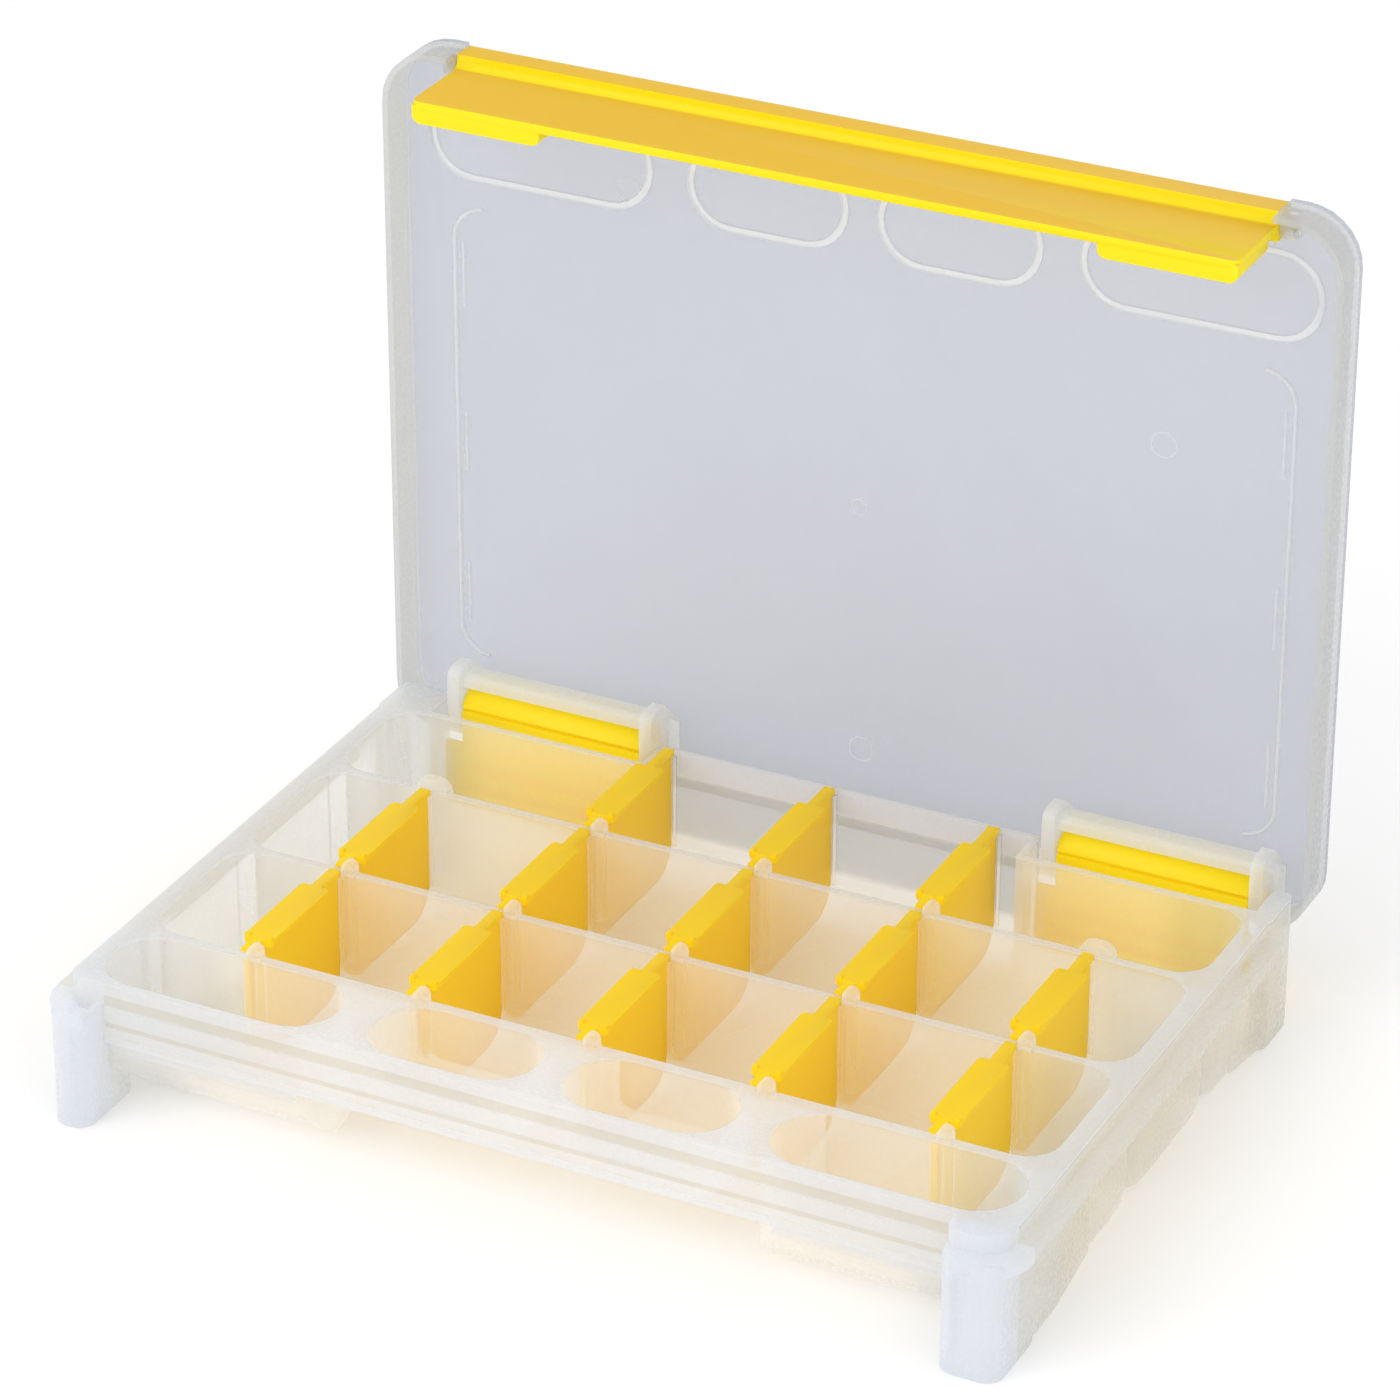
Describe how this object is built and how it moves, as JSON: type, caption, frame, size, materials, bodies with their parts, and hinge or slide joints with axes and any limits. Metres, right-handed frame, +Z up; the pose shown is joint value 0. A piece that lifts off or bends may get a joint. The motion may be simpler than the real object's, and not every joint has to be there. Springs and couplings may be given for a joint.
{
  "type": "compartment storage box",
  "caption": "Shallow translucent box with a hinged lid, a full-width snap latch, rows of cells with removable dividers and rounded front pockets.",
  "frame": {"origin": "middle of the bounding box in X and Y with the lid standing open, at the height of the surface the box stands on", "axes": "+X to the right seen from the latch side, +Y towards the hinges, +Z up"},
  "size_m": [0.268, 0.2002, 0.2232],
  "materials": {
    "clear_plastic": "translucent milky polypropylene, smooth, lightly glossy",
    "yellow_plastic": "opaque yellow moulded plastic, satin"
  },
  "bodies": {
    "tray": {"tray": "clear_plastic", "hinge_left": "yellow_plastic", "hinge_right": "yellow_plastic"},
    "lid": {"lid": "clear_plastic"},
    "latch": {"latch": "yellow_plastic"},
    "divider_rear_1": {"divider_rear_1": "yellow_plastic"},
    "divider_rear_2": {"divider_rear_2": "yellow_plastic"},
    "divider_rear_3": {"divider_rear_3": "yellow_plastic"},
    "divider_middle_1": {"divider_middle_1": "yellow_plastic"},
    "divider_middle_2": {"divider_middle_2": "yellow_plastic"},
    "divider_middle_3": {"divider_middle_3": "yellow_plastic"},
    "divider_middle_4": {"divider_middle_4": "yellow_plastic"},
    "divider_middle_5": {"divider_middle_5": "yellow_plastic"},
    "divider_front_1": {"divider_front_1": "yellow_plastic"},
    "divider_front_2": {"divider_front_2": "yellow_plastic"},
    "divider_front_3": {"divider_front_3": "yellow_plastic"},
    "divider_front_4": {"divider_front_4": "yellow_plastic"},
    "divider_front_5": {"divider_front_5": "yellow_plastic"}
  },
  "joints": [
    {"name": "lid_hinge", "type": "hinge", "parent": "tray", "child": "lid", "pos_m": [0, 0.08815, 0.0344], "axis": [-1, 0, 0], "range_deg": [-90, 0]},
    {"name": "latch_hinge", "type": "hinge", "parent": "lid", "child": "latch", "pos_m": [0, 0.09595, 0.2185], "axis": [-1, 0, 0], "range_deg": [0, 95]},
    {"name": "divider_rear_1_lift", "type": "slide", "parent": "tray", "child": "divider_rear_1", "axis": [0, 0, 1], "range_m": [0, 0.042]},
    {"name": "divider_rear_2_lift", "type": "slide", "parent": "tray", "child": "divider_rear_2", "axis": [0, 0, 1], "range_m": [0, 0.042]},
    {"name": "divider_rear_3_lift", "type": "slide", "parent": "tray", "child": "divider_rear_3", "axis": [0, 0, 1], "range_m": [0, 0.042]},
    {"name": "divider_middle_1_lift", "type": "slide", "parent": "tray", "child": "divider_middle_1", "axis": [0, 0, 1], "range_m": [0, 0.042]},
    {"name": "divider_middle_2_lift", "type": "slide", "parent": "tray", "child": "divider_middle_2", "axis": [0, 0, 1], "range_m": [0, 0.042]},
    {"name": "divider_middle_3_lift", "type": "slide", "parent": "tray", "child": "divider_middle_3", "axis": [0, 0, 1], "range_m": [0, 0.042]},
    {"name": "divider_middle_4_lift", "type": "slide", "parent": "tray", "child": "divider_middle_4", "axis": [0, 0, 1], "range_m": [0, 0.042]},
    {"name": "divider_middle_5_lift", "type": "slide", "parent": "tray", "child": "divider_middle_5", "axis": [0, 0, 1], "range_m": [0, 0.042]},
    {"name": "divider_front_1_lift", "type": "slide", "parent": "tray", "child": "divider_front_1", "axis": [0, 0, 1], "range_m": [0, 0.042]},
    {"name": "divider_front_2_lift", "type": "slide", "parent": "tray", "child": "divider_front_2", "axis": [0, 0, 1], "range_m": [0, 0.042]},
    {"name": "divider_front_3_lift", "type": "slide", "parent": "tray", "child": "divider_front_3", "axis": [0, 0, 1], "range_m": [0, 0.042]},
    {"name": "divider_front_4_lift", "type": "slide", "parent": "tray", "child": "divider_front_4", "axis": [0, 0, 1], "range_m": [0, 0.042]},
    {"name": "divider_front_5_lift", "type": "slide", "parent": "tray", "child": "divider_front_5", "axis": [0, 0, 1], "range_m": [0, 0.042]}
  ]
}
